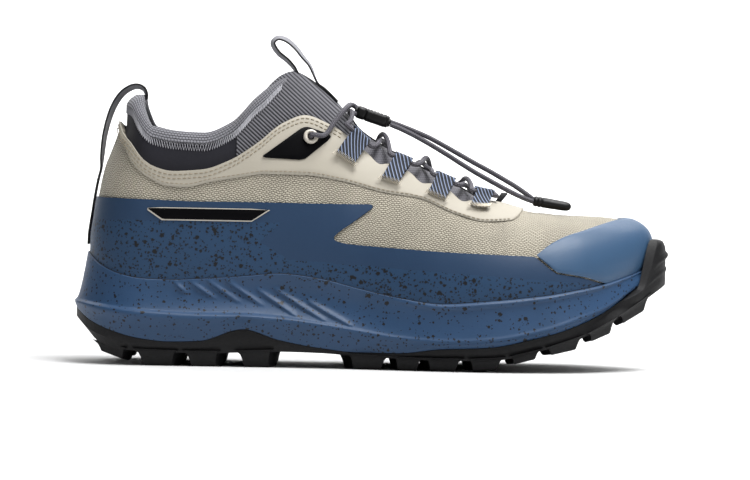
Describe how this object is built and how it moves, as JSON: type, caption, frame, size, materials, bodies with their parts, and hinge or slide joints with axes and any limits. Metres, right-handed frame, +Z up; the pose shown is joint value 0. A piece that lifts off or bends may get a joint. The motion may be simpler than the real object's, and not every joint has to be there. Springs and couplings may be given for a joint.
{
  "type": "trail running shoe",
  "caption": "Right trail running shoe: cream mesh upper with blue overlays, elastic cord lacing with a toggle, thick blue foam midsole and lugged black rubber outsole.",
  "frame": {"origin": "middle of the shoe's box on the ground", "axes": "+Z up, +X from the heel to the toe, +Y towards the inner side of the foot"},
  "size_m": [0.301, 0.1108, 0.1668],
  "materials": {
    "black_rubber": "matt moulded",
    "blue_foam": "satin moulded foam",
    "grey_foam": "cloth-faced foam",
    "cream_mesh": "woven mesh",
    "cream_film": "smooth bonded film",
    "blue_film": "matt bonded film",
    "toe_film": "glossy bonded film",
    "collar_cloth": "smooth stretch cloth",
    "grey_knit": "ribbed knit",
    "black_film": "woven tape",
    "striped_webbing": "striped tape",
    "grey_lace": "braided elastic cord",
    "black_plastic": "moulded",
    "cream_ring": "moulded"
  },
  "bodies": {
    "root": {"outsole": "black_rubber", "midsole": "blue_foam", "insole": "grey_foam", "upper": "cream_mesh", "mudguard": "blue_film", "toe_cap": "toe_film", "eyestay": "cream_film", "collar": "collar_cloth", "tongue": "grey_knit", "heel_pull_loop": "black_film", "tongue_pull_loop": "black_film", "lace_crossings": "grey_lace", "lace_lock": "black_plastic", "lace_keeper": "black_film", "cord_end": "black_plastic", "lace_tail_upper": "grey_lace", "lace_tail_lower": "grey_lace", "eyelet_patch_lateral": "black_film", "eyelet_lateral": "cream_ring", "eyelet_medial": "cream_ring", "lace_riser_lateral": "grey_lace", "lace_riser_medial": "grey_lace", "lace_loop_lateral_1": "striped_webbing", "lace_loop_lateral_2": "striped_webbing", "lace_loop_lateral_3": "striped_webbing", "lace_loop_lateral_4": "striped_webbing", "lace_loop_medial_1": "striped_webbing", "lace_loop_medial_2": "striped_webbing", "lace_loop_medial_3": "striped_webbing", "lace_loop_medial_4": "striped_webbing"}
  },
  "joints": []
}
